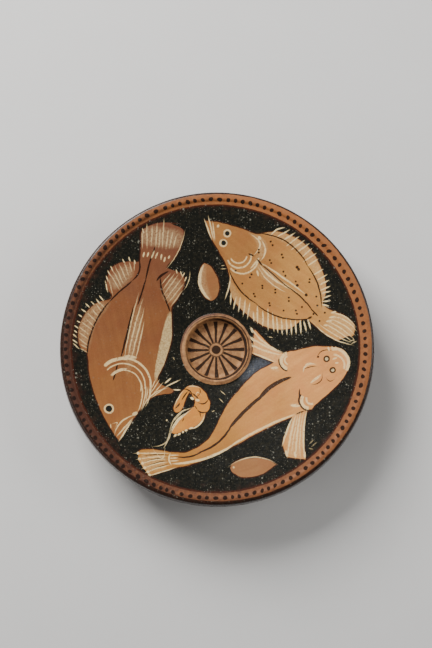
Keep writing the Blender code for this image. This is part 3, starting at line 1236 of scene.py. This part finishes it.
@dataclass(frozen=True)
class PaintedFace:
    """The finish of the plate's face and outer wall: black slip, bare clay, thinned lines and added white.

    Lumps are the size of a noise's lumps in millimetres and their detail. Two numbers for a grain, a tone,
    radii, heights or a fade are where it begins to count and where it counts in full.
    """

    black: Colour = seen(18, 18, 14)
    # colour of a blue-grey sheen painted on the black beside the well: a painted reflection
    painted_sheen_colour: Colour = seen(98, 102, 112)
    black_greenish: Colour = seen(41, 37, 26)
    black_thin: Colour = seen(62, 28, 16)
    clay_band: Colour = seen(144, 87, 45)
    # the band's clay in painted shade, where the lip turns away from the light
    clay_band_painted_shade: Colour = seen(66, 34, 19)
    clay_medallion: Colour = seen(168, 121, 76)
    clay_medallion_dark: Colour = seen(116, 78, 50)
    line: Colour = seen(32, 13, 5)
    line_black: Colour = seen(24, 9, 3)
    white: Colour = seen(236, 208, 150)
    speck: Colour = seen(126, 122, 106)
    worn_patch: Colour = seen(194, 168, 118)
    worn_patch_dark: Colour = seen(138, 104, 62)
    dull_tint: Path = (0.74, 0.66, 0.62)
    ruddy_tint: Path = (0.95, 0.83, 0.84)
    black_roughness: float = 0.27
    clay_roughness: float = 0.62
    chalk_roughness: float = 0.95
    roughness_unevenness: float = 0.14
    refraction: float = 1.5
    sheen: float = 0.26
    hand_wobble: float = 0.55  # millimetres that the brush strays
    wobble_lumps: Pair = (6.0, 3.0)
    unevenness_lumps: Pair = (4.5, 2.0)
    grain_lumps: Pair = (1.5, 3.0)
    drift_lumps: Pair = (30.0, 1.0)

    # The black slip
    mottle_lumps: Pair = (2.2, 4.0)
    mottle_fade: Pair = (0.44, 0.74)
    mottle_strength: float = 0.8
    worn_heights: Pair = (36.0, 32.0)  # along the lower edge of the rim
    worn_radii: Pair = (126.0, 127.5)
    worn_grain: Pair = (0.42, 0.6)
    worn_strength: float = 0.55
    # A soft painted reflection on the black beside the well, laid as one broad touch
    painted_sheen: Strokes = Strokes(13.0, ((243, 378, 257, 369, 270, 360),))
    painted_sheen_softness: float = 6.0
    painted_sheen_grain: Pair = (0.1, 0.8)
    painted_sheen_strength: float = 0.75
    thin_radii: Pair = (100.0, 122.0)
    thin_beyond: float = 1.15
    thin_fade: Pair = (0.0, 0.5)

    # The figures
    halo_strength: float = 0.9
    run_drift: float = 0.8
    streaks: float = 10.0  # how much longer the brush's streaks are than wide
    streak_lumps: Pair = (3.2, 4.0)
    streak_share: float = 0.6  # the rest of the clay's tone is its grain
    tone_fade: Pair = (0.25, 0.75)
    flush_lumps: Pair = (13.0, 4.0)
    flush_fade: Pair = (0.46, 0.66)
    wash_strength: float = 0.2
    wash_grain: Pair = (0.2, 0.6)
    line_strength: float = 0.95
    line_gloss: float = 0.8  # how far a line brings back the black slip's gloss
    white_grain: Pair = (0.22, 0.46)
    white_strength: float = 0.88
    white_thinner: float = 0.2  # on clay
    belly: Strokes = Strokes(10.4, ((170.5, 313, 165.8, 347, 156.5, 380),))
    belly_softness: float = 0.7
    belly_grain: Pair = (0.3, 0.6)
    belly_cracks: float = 0.42  # to the millimetre
    crack_fade: Pair = (0.0, 0.14)
    crack_share: float = 0.4  # of the patch's tone, beside its grain
    belly_strength: float = 0.93

    # The band and the medallion
    # Painted shade on the band: darker towards the lower left and at both sides, with noise
    painted_shade_towards: float = 213.0
    painted_shade_by: float = 0.62
    painted_shade_sides: float = 0.27  # to the left and right
    painted_shade_unevenness: float = 0.9
    painted_shade_grain: float = 0.7
    painted_shade_fade: Pair = (-0.5, 0.75)
    medallion_grain: float = 0.6
    medallion_tone: Pair = (0.55, 1.05)
    dots_strength: float = 0.96
    rays_strength: float = 0.95
    # painted shade on the outer slope of the ring around the well
    painted_ring_shade_strength: float = 0.85

    # The specks
    speck_spacings: Path = (4.6, 2.5, 1.5)
    speck_lumps: Pair = (16.0, 3.0)  # where specks are many
    speck_plenty: float = 0.5
    speck_size: float = 0.46
    speck_rarity: float = 0.58
    speck_fade: Pair = (0.0, 0.22)
    speck_radii: Pair = (127.4, 126.4)  # they stop at the shoulder
    fewer_on_clay: float = 0.8

    def material(self) -> bpy.types.Material:
        """Make the material.

        Returns:
            The material, with all of the painting.
        """
        material, bench, here = start_finish("painted_face")
        place = self._strayed(bench, here)
        radius, turn = bench.around(place, Vector((0.0, 0.0)))
        at = Spot(bench, here, place, radius, turn, unevenness=bench.noise(here, self.unevenness_lumps),
                  grain=bench.noise(here, self.grain_lumps), drift=bench.noise(here, self.drift_lumps))
        colour, bare, chalk = self._lay_figures(at, self._slip(at))
        colour, bare, matt = self._lay_rings(at, colour, bare)
        colour, chalk = self._weather(at, colour, bare, chalk.most(matt))
        roughness = (bare * (self.clay_roughness - self.black_roughness) + self.black_roughness
                     + chalk * (self.chalk_roughness - self.clay_roughness)
                     + at.unevenness.swing(self.roughness_unevenness))
        bench.finish({"Base Color": colour, "Roughness": roughness, "IOR": self.refraction,
                      "Specular IOR Level": self.sheen, "Normal": bench.burnished(here)})
        return material

    def _strayed(self, bench: Bench, here: Socket) -> Socket:
        """Let a spot stray a little, as a hand strays.

        Args:
            bench: the bench for the nodes.
            here: the spot in millimetres.

        Returns:
            The spot as x, y and 1.
        """
        stray = bench.noise(here, self.wobble_lumps, "Color")
        wobble = self.hand_wobble
        centred = bench.vector("MULTIPLY_ADD", stray, (2 * wobble, 2 * wobble, 0.0), (-wobble, -wobble, 1.0))
        return bench.vector("MULTIPLY_ADD", here, (1.0, 1.0, 0.0), centred)

    def _slip(self, at: Spot) -> Socket:
        """Lay the black slip, browner in places and towards the rim, with a painted sheen beside the well.

        Args:
            at: the spot that it is laid at.

        Returns:
            Its colour.
        """
        bench = at.bench
        mottle = bench.noise(at.here, self.mottle_lumps).ramp(*self.mottle_fade)
        colour = bench.mixed(self.black, self.black_greenish, mottle * self.mottle_strength)
        height = bench.amount("ShaderNodeSeparateXYZ", None, {0: at.here}, 2)
        worn = height.ramp(*self.worn_heights) * at.radius.ramp(*self.worn_radii)
        worn = worn * at.grain.ramp(*self.worn_grain)
        colour = bench.mixed(colour, self.clay_band, worn * self.worn_strength)
        # painted sheen: a soft blue-grey reflection laid on the black beside the well
        painted_sheen = self.painted_sheen.painted(bench, at.place, self.painted_sheen_softness) * self.painted_sheen_strength
        colour = bench.mixed(colour, self.painted_sheen_colour, painted_sheen * at.grain.ramp(*self.painted_sheen_grain))
        thinner = (at.radius.ramp(*self.thin_radii) + at.unevenness - self.thin_beyond).ramp(*self.thin_fade)
        return bench.mixed(colour, self.black_thin, thinner * at.grain)

    def _lay_figures(self, at: Spot, colour: Socket) -> tuple[Socket, Amount, Amount]:
        """Lay the figures on the slip.

        Args:
            at: the spot that they are laid at.
            colour: the slip's colour.

        Returns:
            The colour, how bare the clay is and how chalky the surface is.
        """
        bench = at.bench
        bare: Any = 0.0
        chalk: Any = 0.0
        for figure in FIGURES:
            painted = bench.node("ShaderNodeGroup", {"node_tree": figure.group()}, {"Place": at.place})
            cover = {output.name: Amount(bench, output) for output in painted.outputs}
            body = cover[Layer.CLAY.value]
            if figure.outlines:
                colour = bench.mixed(colour, self.black_thin, cover["Near"] * self.halo_strength)
                colour = bench.mixed(colour, self._clay(at, figure), body)
                bare = body + bare
            if figure is BREAM:
                colour, chalk = self._wear_belly(at, colour, body)
            if Layer.WASH in figure.touches:
                thin = cover[Layer.WASH.value] * body * at.grain.ramp(*self.wash_grain)
                colour = bench.mixed(colour, self.white, thin * self.wash_strength)
            white = cover[Layer.WHITE.value] * at.grain.ramp(*self.white_grain)
            coats = [(self.white, white * (self.white_strength - body * self.white_thinner))]
            if Layer.LINE in figure.touches:
                line = cover[Layer.LINE.value]
                bare = line.times_plus(-self.line_gloss, bare)
                coats.insert(int(figure.lines_last), (self.line, line * self.line_strength))
            if Layer.SPOT in figure.touches:
                coats.append((self.black, cover[Layer.SPOT.value]))
            for paint, share in coats:
                colour = bench.mixed(colour, paint, share)
            chalk = white + chalk
        return colour, bare, chalk

    def _clay(self, at: Spot, figure: Figure) -> Socket:
        """Mix a figure's clay, with its change from end to end, its streaks and its grain.

        Args:
            at: the spot that it is seen at.
            figure: the figure.

        Returns:
            Its colour.
        """
        bench = at.bench
        start, end = on_plate(*figure.run[:2]), on_plate(*figure.run[2:])
        along = bench.along(at.place, (end - start).normalized(), start, (end - start).length)
        share = (at.drift.swing(self.run_drift) + along).ramp(0.0, 1.0)
        clay = bench.mixed(figure.clay, figure.clay_at_end or figure.clay, share)
        streaks = self._streaks(at, figure.wash_turn) * self.streak_share
        tone = streaks + at.grain.ramp(*self.tone_fade) * (1 - self.streak_share)
        flush = bench.noise(at.here, self.flush_lumps).ramp(*self.flush_fade)
        dull_tone_and_shade, ruddy = (bench.vector("MULTIPLY", clay, tint) for tint in (self.dull_tint, self.ruddy_tint))
        return bench.mixed(dull_tone_and_shade, bench.mixed(clay, ruddy, flush), tone)

    def _streaks(self, at: Spot, turn: float) -> Amount:
        """Draw the long faint streaks of a wide brush.

        Args:
            at: the spot that they are drawn at.
            turn: of the brush, in degrees.

        Returns:
            How full the brush was there.
        """
        drawn = at.bench.node("ShaderNodeMapping", {"vector_type": "TEXTURE"}, {
            "Vector": at.here, "Rotation": (0.0, 0.0, math.radians(turn)),
            "Scale": (self.streaks, 1.0, self.streaks)})
        return at.bench.noise(drawn.outputs[0], self.streak_lumps).ramp(*self.tone_fade)

    def _wear_belly(self, at: Spot, colour: Socket, body: Amount) -> tuple[Socket, Amount]:
        """Lay the crackled white that is left on the bream's belly.

        Args:
            at: the spot that it is laid at.
            colour: the bream's colour.
            body: how fully the bream covers the spot.

        Returns:
            The colour with the white, and how fully that covers the spot.
        """
        bench = at.bench
        belly = self.belly.painted(bench, at.place, self.belly_softness) * body
        settings = {"voronoi_dimensions": "2D", "feature": "DISTANCE_TO_EDGE"}
        inputs = {"Vector": at.place, "Scale": self.belly_cracks}
        cracks = bench.amount("ShaderNodeTexVoronoi", settings, inputs).ramp(*self.crack_fade)
        tone = cracks * self.crack_share + at.grain.ramp(*self.belly_grain) * (1 - self.crack_share)
        patch = bench.mixed(self.worn_patch_dark, self.worn_patch, tone)
        return bench.mixed(colour, patch, belly * self.belly_strength), belly

    def _lay_rings(self, at: Spot, colour: Socket, bare: Amount) -> tuple[Socket, Amount, Amount]:
        """Lay the band along the rim and the medallion in the well, with painted shade on the band and on the
        outer slope of the ring around the well.

        Args:
            at: the spot that they are laid at.
            colour: the colour below.
            bare: how bare the clay is there.

        Returns:
            The colour, how bare the clay is, and how fully the matt dots and rays cover it.
        """
        bench = at.bench
        band, band_line, dots = RimBand().layers(at)
        disc, rays, dull_tone_and_shade = Medallion().layers(at)
        # painted shade: the band's clay darkens towards the lower left and at the left and right, as light
        # falls on the lip
        beside = at.turn.facing(0.0)
        painted_shade = (at.turn.facing(self.painted_shade_towards) * self.painted_shade_by + beside * beside * self.painted_shade_sides
                  + at.unevenness.swing(self.painted_shade_unevenness) + at.grain.swing(self.painted_shade_grain)
                  ).ramp(*self.painted_shade_fade)
        tone = (at.unevenness + at.grain * self.medallion_grain).ramp(*self.medallion_tone)
        for paint, share in (
            (self.black_thin, band_line * self.halo_strength),
            (bench.mixed(self.clay_band, self.clay_band_painted_shade, painted_shade), band),
            (self.line_black, dots * self.dots_strength),
            (bench.mixed(self.clay_medallion_dark, self.clay_medallion, tone), disc),
            # painted shade on the ring's outer slope
            (self.black_thin, dull_tone_and_shade * self.painted_ring_shade_strength),
            (self.line_black, rays * self.rays_strength),
        ):
            colour = bench.mixed(colour, paint, share)
        return colour, (bare + band + disc).ramp(0.0, 1.0), dots.most(rays)

    def _weather(self, at: Spot, colour: Socket, bare: Amount, chalk: Amount) -> tuple[Socket, Amount]:
        """Add the pale specks that have chipped and settled, mostly on the black.

        Args:
            at: the spot that they are added at.
            colour: the painting's colour.
            bare: how bare the clay is.
            chalk: how chalky the surface is.

        Returns:
            The colour with the specks, and how chalky it is with them.
        """
        patchy = at.bench.noise(at.here, self.speck_lumps) + self.speck_plenty
        layers = []
        for spacing in self.speck_spacings:
            cells = at.bench.node("ShaderNodeTexVoronoi", {"voronoi_dimensions": "2D"},
                                  {"Vector": at.place, "Scale": 1 / spacing}).outputs
            pick = at.bench.amount("ShaderNodeSeparateColor", None, {0: cells["Color"]})
            reach = pick.times_plus(patchy, -self.speck_rarity) * self.speck_size
            layers.append((reach - Amount(at.bench, cells["Distance"])).ramp(*self.speck_fade))
        specks = reduce(Amount.most, layers) * (1 - bare * self.fewer_on_clay)
        specks = specks * at.radius.ramp(*self.speck_radii)
        return at.bench.mixed(colour, self.speck, specks), chalk.most(specks).ramp(0.0, 1.0)


@dataclass(frozen=True)
class BareUnderside:
    """The finish below: bare clay, with the foot's outside and some bands in black slip, in millimetres."""

    clay: Colour = seen(172, 112, 76)
    clay_dark: Colour = seen(128, 76, 50)
    clay_lumps: Pair = (16.0, 4.0)
    clay_tone: Pair = (0.3, 0.7)
    black: Colour = seen(30, 26, 24)
    black_strength: float = 0.95
    black_worn: Pair = (0.15, 0.4)
    earth: Colour = seen(150, 132, 112)
    stain_lumps: Pair = (7.0, 5.0)
    stain_fade: Pair = (0.55, 0.75)
    stain_strength: float = 0.4
    roughness: float = 0.62
    smoother_black: float = 0.25
    rougher_stain: float = 0.15
    wobble: float = 2.4
    wobble_lumps: Pair = (11.0, 3.0)
    # middle and half width of each band
    bands: tuple[Pair, ...] = ((118.0, 9.0), (99.0, 0.9), (66.0, 5.0), (30.0, 1.1), (18.0, 3.2))
    band_fade: Pair = (0.5, -0.3)
    dot_fade: Pair = (4.0, 3.2)
    foot_radii: Pair = (44.0, 45.2)
    foot_top: Pair = (27.0, 25.5)
    foot_bottom: Pair = (2.2, 3.2)
    rim_radii: Pair = (130.5, 128.5)

    def material(self) -> bpy.types.Material:
        """Make the material.

        Returns:
            The material.
        """
        material, bench, here = start_finish("bare_underside")
        wobble = bench.noise(here, self.wobble_lumps)
        height = bench.amount("ShaderNodeSeparateXYZ", None, {0: here}, 2)
        radius = bench.measure("LENGTH", bench.vector("MULTIPLY", here, (1.0, 1.0, 0.0)))
        radius = radius + wobble.swing(self.wobble)
        foot = radius.ramp(*self.foot_radii) * height.ramp(*self.foot_top) * height.ramp(*self.foot_bottom)
        parts = [radius.ramp(*self.dot_fade), foot]
        for middle, half in self.bands:
            parts.append(abs(radius - middle).ramp(*(half + fade for fade in self.band_fade)))
        black = reduce(Amount.most, parts) * radius.ramp(*self.rim_radii)
        stain = bench.noise(here, self.stain_lumps).ramp(*self.stain_fade)
        tone = bench.noise(here, self.clay_lumps).ramp(*self.clay_tone)
        colour = bench.mixed(self.clay_dark, self.clay, tone)
        colour = bench.mixed(colour, self.black, black * wobble.ramp(*self.black_worn) * self.black_strength)
        colour = bench.mixed(colour, self.earth, stain * self.stain_strength)
        roughness = self.roughness - black * self.smoother_black + stain * self.rougher_stain
        bench.finish({"Base Color": colour, "Roughness": roughness, "Normal": bench.burnished(here)})
        return material


class Side(Enum):
    """The stretches of the plate's surface, each laid flat in a place of its own for the bake."""

    FACE = "face"
    BACK = "back"
    FOOT = "foot"


@dataclass
class ThrownPlate:
    """The plate itself: one piece of clay, turned from its section."""

    section: PlateSection = field(default_factory=PlateSection)
    turned_sides: int = 240
    arc_step: float = math.radians(9)
    fewest_arc_steps: int = 3
    longest_step: float = 0.0026
    sharp_angle: float = math.radians(50)
    weld_distance: float = 0.000005
    place_digits: int = 5  # that tell one step of the outline from the next
    first_plane: float = 0.01  # merged to the one vertex that the outline is drawn from
    wall_squeeze: float = 0.35  # how much shorter the outer wall is in the bake map than on the plate
    bake_discs: dict[Side, tuple[float, float, float]] = field(default_factory=lambda: {
        Side.FACE: (0.470, 0.530, 0.468), Side.BACK: (0.883, 0.117, 0.113), Side.FOOT: (0.082, 0.918, 0.078)})
    neck_height: float = 0.020  # where the back's disc ends and the foot's begins
    # name, size of the lumps and depth of each unevenness
    unevenness: tuple[tuple[str, float, float], ...] = (("warping", 0.09, 0.0005), ("touch", 0.012, 0.00010))

    def build(self) -> bpy.types.Object:
        """Model the plate and dress it.

        Returns:
            The plate's object, at the origin.
        """
        outline = self._outline()
        piece = self._turned(outline)
        sides = self._sort_faces(piece, outline)
        self._lay_flat(piece, outline, sides)
        self._dress(piece, sides)
        self._uneven(piece)
        bpy.ops.object.shade_smooth_by_angle(angle=self.sharp_angle)
        return piece

    def _outline(self) -> list[Vector]:
        """Draw the section's outline.

        Returns:
            Its points as radius and height, with rounded corners and no long step.
        """
        corners = self.section.corners()
        places = [Vector(corner[:2]) for corner in corners]
        points = [places[0]]
        for index in range(1, len(corners) - 1):
            points += self._rounded(places[index - 1], places[index], places[index + 1], corners[index][2])
        points.append(places[-1])
        stepped = [points[0]]
        for there in points[1:]:
            here = stepped[-1]
            steps = math.ceil((there - here).length / self.longest_step)
            stepped += [here.lerp(there, step / steps) for step in range(1, steps + 1)]
        return stepped

    def _rounded(self, before: Vector, corner: Vector, after: Vector, radius: float) -> list[Vector]:
        """Round one corner, as in the CAD solid but with finer steps.

        Args:
            before: the corner before it.
            corner: the corner.
            after: the corner after it.
            radius: of the rounding, where the edges are long enough for it.

        Returns:
            The points of the arc.
        """
        inwards, onwards = before - corner, after - corner
        opening = inwards.angle(onwards)
        reach = min(radius / math.tan(opening / 2), inwards.length / 2, onwards.length / 2)
        fitted = reach * math.tan(opening / 2)
        bisector = (inwards.normalized() + onwards.normalized()).normalized()
        centre = corner + bisector * fitted / math.sin(opening / 2)
        spoke = corner + inwards.normalized() * reach - centre
        turn = -spoke.angle_signed(corner + onwards.normalized() * reach - centre)
        steps = max(self.fewest_arc_steps, math.ceil(abs(turn) / self.arc_step))
        return [centre + Matrix.Rotation(turn * step / steps, 2) @ spoke for step in range(steps + 1)]

    def _turned(self, outline: list[Vector]) -> bpy.types.Object:
        """Draw the outline by extruding one vertex, and spin it round the plate's axis.

        Args:
            outline: the outline's points.

        Returns:
            The plate's object.
        """
        bpy.ops.object.select_all(action="DESELECT")
        bpy.ops.mesh.primitive_plane_add(size=self.first_plane)
        piece = bpy.context.active_object
        piece.name = piece.data.name = "painted_plate"
        bpy.ops.object.mode_set(mode="EDIT")
        bpy.ops.mesh.select_mode(type="VERT")
        bpy.ops.mesh.select_all(action="SELECT")
        bpy.ops.mesh.merge(type="CENTER")
        bpy.ops.transform.translate(value=(outline[0].x, 0.0, outline[0].y))
        for here, there in zip(outline, outline[1:]):
            step = (there.x - here.x, 0.0, there.y - here.y)
            bpy.ops.mesh.extrude_region_move(TRANSFORM_OT_translate={"value": step})
        bpy.ops.mesh.select_all(action="SELECT")
        bpy.ops.mesh.spin(steps=self.turned_sides, angle=math.tau, center=(0.0, 0.0, 0.0),
                          axis=(0.0, 0.0, 1.0))
        bpy.ops.mesh.select_all(action="SELECT")
        bpy.ops.mesh.remove_doubles(threshold=self.weld_distance)
        bpy.ops.mesh.normals_make_consistent(inside=False)
        bpy.ops.object.mode_set(mode="OBJECT")
        return piece

    def _sort_faces(self, piece: bpy.types.Object, outline: list[Vector]) -> list[tuple[Side, list[int]]]:
        """Sort the faces by the side of the plate that they are on.

        Args:
            piece: the plate's object.
            outline: the outline that it was turned from.

        Returns:
            For each face, its side and the steps of the outline at its corners.
        """
        known: dict[Pair, int] = {}
        vertex_steps = []
        for vertex in piece.data.vertices:
            place = (round(vertex.co.xy.length, self.place_digits), round(vertex.co.z, self.place_digits))
            if place not in known:
                known[place] = self._step_near(outline, *place)
            vertex_steps.append(known[place])
        rim_edge = self._step_near(outline, self.section.plate_radius - self.section.rim_wall / 2,
                                   self.section.plate_height - self.section.rim_drop)
        neck = self._step_near(outline, self.section.neck_radius, self.neck_height)
        sides = []
        for face in piece.data.polygons:
            corners = [vertex_steps[index] for index in face.vertices]
            first = min(corners)
            side = Side.FACE if first < rim_edge else Side.BACK if first < neck else Side.FOOT
            sides.append((side, corners))
        return sides

    @staticmethod
    def _step_near(outline: list[Vector], radius: float, height: float) -> int:
        """Return the step of the outline nearest to a place."""
        place = Vector((radius, height))
        return min(range(len(outline)), key=lambda index: (outline[index] - place).length)

    def _spans(self, outline: list[Vector], sides: list[tuple[Side, list[int]]]) -> dict[Side, list[float]]:
        """Measure how far out each step of the outline lies on the discs of the bake map.

        Args:
            outline: the outline.
            sides: for each face, its side and the steps at its corners.

        Returns:
            For each side, the share of its disc's radius at every step.
        """
        wall_top = self._step_near(outline, self.section.plate_radius - self.section.rim_flare,
                                   self.section.plate_height - self.section.lip_shoulder)
        rim_edge = max(max(corners) for side, corners in sides if side is Side.FACE)
        neck = min(min(corners) for side, corners in sides if side is Side.FOOT)
        out = [0.0]
        for index, (here, there) in enumerate(zip(outline, outline[1:])):
            squeeze = self.wall_squeeze if wall_top <= index < rim_edge else 1.0
            out.append(out[-1] + (there - here).length * squeeze)
        back = [self.section.neck_radius + out[neck] - value for value in out]
        return {
            Side.FACE: [value / out[rim_edge] for value in out],
            Side.BACK: [value / back[rim_edge] for value in back],
            Side.FOOT: [(out[-1] - value) / (out[-1] - out[neck]) for value in out],
        }

    def _lay_flat(self, piece: bpy.types.Object, outline: list[Vector],
                  sides: list[tuple[Side, list[int]]]) -> None:
        """Give the plate the map that its finish is baked through: each side as a disc, seen along the axis.

        Args:
            piece: the plate's object.
            outline: the outline that it was turned from.
            sides: for each face, its side and the steps at its corners.
        """
        spans = self._spans(outline, sides)
        uv = piece.data.uv_layers.active or piece.data.uv_layers.new()
        uv.name = BAKE_MAP
        for face, (side, corners) in zip(piece.data.polygons, sides):
            centre_across, centre_up, size = self.bake_discs[side]
            for loop, step in zip(face.loop_indices, corners):
                outwards = piece.data.vertices[piece.data.loops[loop].vertex_index].co.xy
                if outwards.length <= self.weld_distance:
                    outwards = face.center.xy
                outwards = outwards.normalized() * spans[side][step] * size
                uv.data[loop].uv = (centre_across + outwards.x, centre_up + outwards.y)

    @staticmethod
    def _dress(piece: bpy.types.Object, sides: list[tuple[Side, list[int]]]) -> None:
        """Give the face and outer wall the painted finish, and the rest the bare one.

        Args:
            piece: the plate's object.
            sides: for each face, its side and the steps at its corners.
        """
        for finish in (PaintedFace(), BareUnderside()):
            piece.data.materials.append(finish.material())
        for face, (side, _) in zip(piece.data.polygons, sides):
            face.material_index = 0 if side is Side.FACE else 1

    def _uneven(self, piece: bpy.types.Object) -> None:
        """Take the machine's evenness off the surface, as hands and a kiln do.

        Args:
            piece: the plate's object.
        """
        for name, lump, depth in self.unevenness:
            clouds = bpy.data.textures.new(name, "CLOUDS")
            clouds.noise_scale = lump
            bpy.ops.object.modifier_add(type="DISPLACE")
            modifier = piece.modifiers[-1]
            modifier.name = name
            modifier.texture = clouds
            modifier.texture_coords = "LOCAL"
            modifier.strength = depth
            modifier.mid_level = 0.5
            bpy.ops.object.modifier_apply(modifier=name)


@dataclass(frozen=True)
class Lamp:
    """A soft square light that faces the plate."""

    name: str
    turn: float  # degrees from the right of the picture
    height: float  # degrees above the floor
    distance: float
    size: float
    power: float

    def hang(self) -> None:
        """Hang the light."""
        turn, height = math.radians(self.turn), math.radians(self.height)
        level = math.cos(height)
        towards = Vector((math.cos(turn) * level, math.sin(turn) * level, math.sin(height)))
        lamp = bpy.data.lights.new(self.name, "AREA")
        lamp.shape = "SQUARE"
        lamp.size = self.size
        lamp.energy = self.power
        hung = bpy.data.objects.new(self.name, lamp)
        bpy.context.scene.collection.objects.link(hung)
        hung.location = towards * self.distance
        hung.rotation_euler = towards.to_track_quat("Z", "Y").to_euler()


@dataclass(frozen=True)
class Studio:
    """The pale floor, the soft lights and the camera."""

    floor_size: float = 8.0
    floor_squares: int = 8
    floor: Colour = seen(205, 203, 200)
    floor_darker: float = 0.95
    floor_lumps: Pair = (50.0, 4.0)  # their size in millimetres and detail
    floor_roughness: float = 0.8
    sky: Colour = (0.93, 0.97, 1.0, 1.0)
    sky_strength: float = 0.19
    lamps: tuple[Lamp, ...] = (
        Lamp("window", turn=124.0, height=38.0, distance=1.8, size=1.0, power=66.0),
        Lamp("side_left", turn=205.0, height=30.0, distance=1.6, size=0.8, power=5.0),
        Lamp("side_right", turn=10.0, height=34.0, distance=1.6, size=0.8, power=11.0),
    )

    def build(self, lowest: float) -> None:
        """Set up the studio.

        Args:
            lowest: the height of the plate's lowest point, where the floor lies.
        """
        self._lay_floor(lowest)
        for lamp in self.lamps:
            lamp.hang()
        world = bpy.data.worlds.new("studio")
        bpy.context.scene.world = world
        world.use_nodes = True
        background = world.node_tree.nodes["Background"]
        background.inputs["Color"].default_value = self.sky
        background.inputs["Strength"].default_value = self.sky_strength
        self._place_camera()

    def _lay_floor(self, lowest: float) -> None:
        """Lay the floor.

        Args:
            lowest: the height that it lies at.
        """
        bpy.ops.object.select_all(action="DESELECT")
        bpy.ops.mesh.primitive_grid_add(x_subdivisions=self.floor_squares, y_subdivisions=self.floor_squares,
                                        size=self.floor_size)
        floor = bpy.context.active_object
        floor.name = floor.data.name = "studio_floor"
        bpy.ops.object.mode_set(mode="EDIT")
        bpy.ops.mesh.select_all(action="SELECT")
        bpy.ops.transform.translate(value=(0.0, 0.0, lowest))
        bpy.ops.object.mode_set(mode="OBJECT")
        material, bench, here = start_finish("pale_floor")
        darker = tuple(part * self.floor_darker for part in self.floor[:3]) + (1.0,)
        colour = bench.mixed(darker, self.floor, bench.noise(here, self.floor_lumps))
        bench.finish({"Base Color": colour, "Roughness": self.floor_roughness})
        floor.data.materials.append(material)
        floor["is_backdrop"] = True

    @staticmethod
    def _place_camera() -> None:
        """Look down on the plate as the photograph does, with the plate's back edge at the top."""
        back = Vector((0.0, -math.sin(VIEW_TILT), math.cos(VIEW_TILT)))
        right = Vector((1.0, 0.0, 0.0))
        up = back.cross(right)
        seat = Vector((AIM[0], AIM[1], SECTION.plate_height)) + back * VIEW_DISTANCE
        camera = bpy.data.cameras.new("camera")
        camera.sensor_width = FILM_HEIGHT
        camera.lens = FILM_HEIGHT * VIEW_DISTANCE / PHOTOGRAPH_HEIGHT_SEEN
        placed = bpy.data.objects.new("camera", camera)
        bpy.context.scene.collection.objects.link(placed)
        placed.matrix_world = Matrix.Translation(seat) @ Matrix((right, up, back)).transposed().to_4x4()
        bpy.context.scene.camera = placed


def main() -> None:
    """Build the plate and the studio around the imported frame."""
    logging.basicConfig(level=logging.INFO, format="%(name)s: %(message)s")
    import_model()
    plate = ThrownPlate().build()
    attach(plate, BODY)
    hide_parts(CAD_NODE)
    LOG.info("%s has %d faces", plate.name, len(plate.data.polygons))
    Studio().build(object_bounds()[0].z)
    LOG.info("studio is set up")


if __name__ == "__main__":
    main()
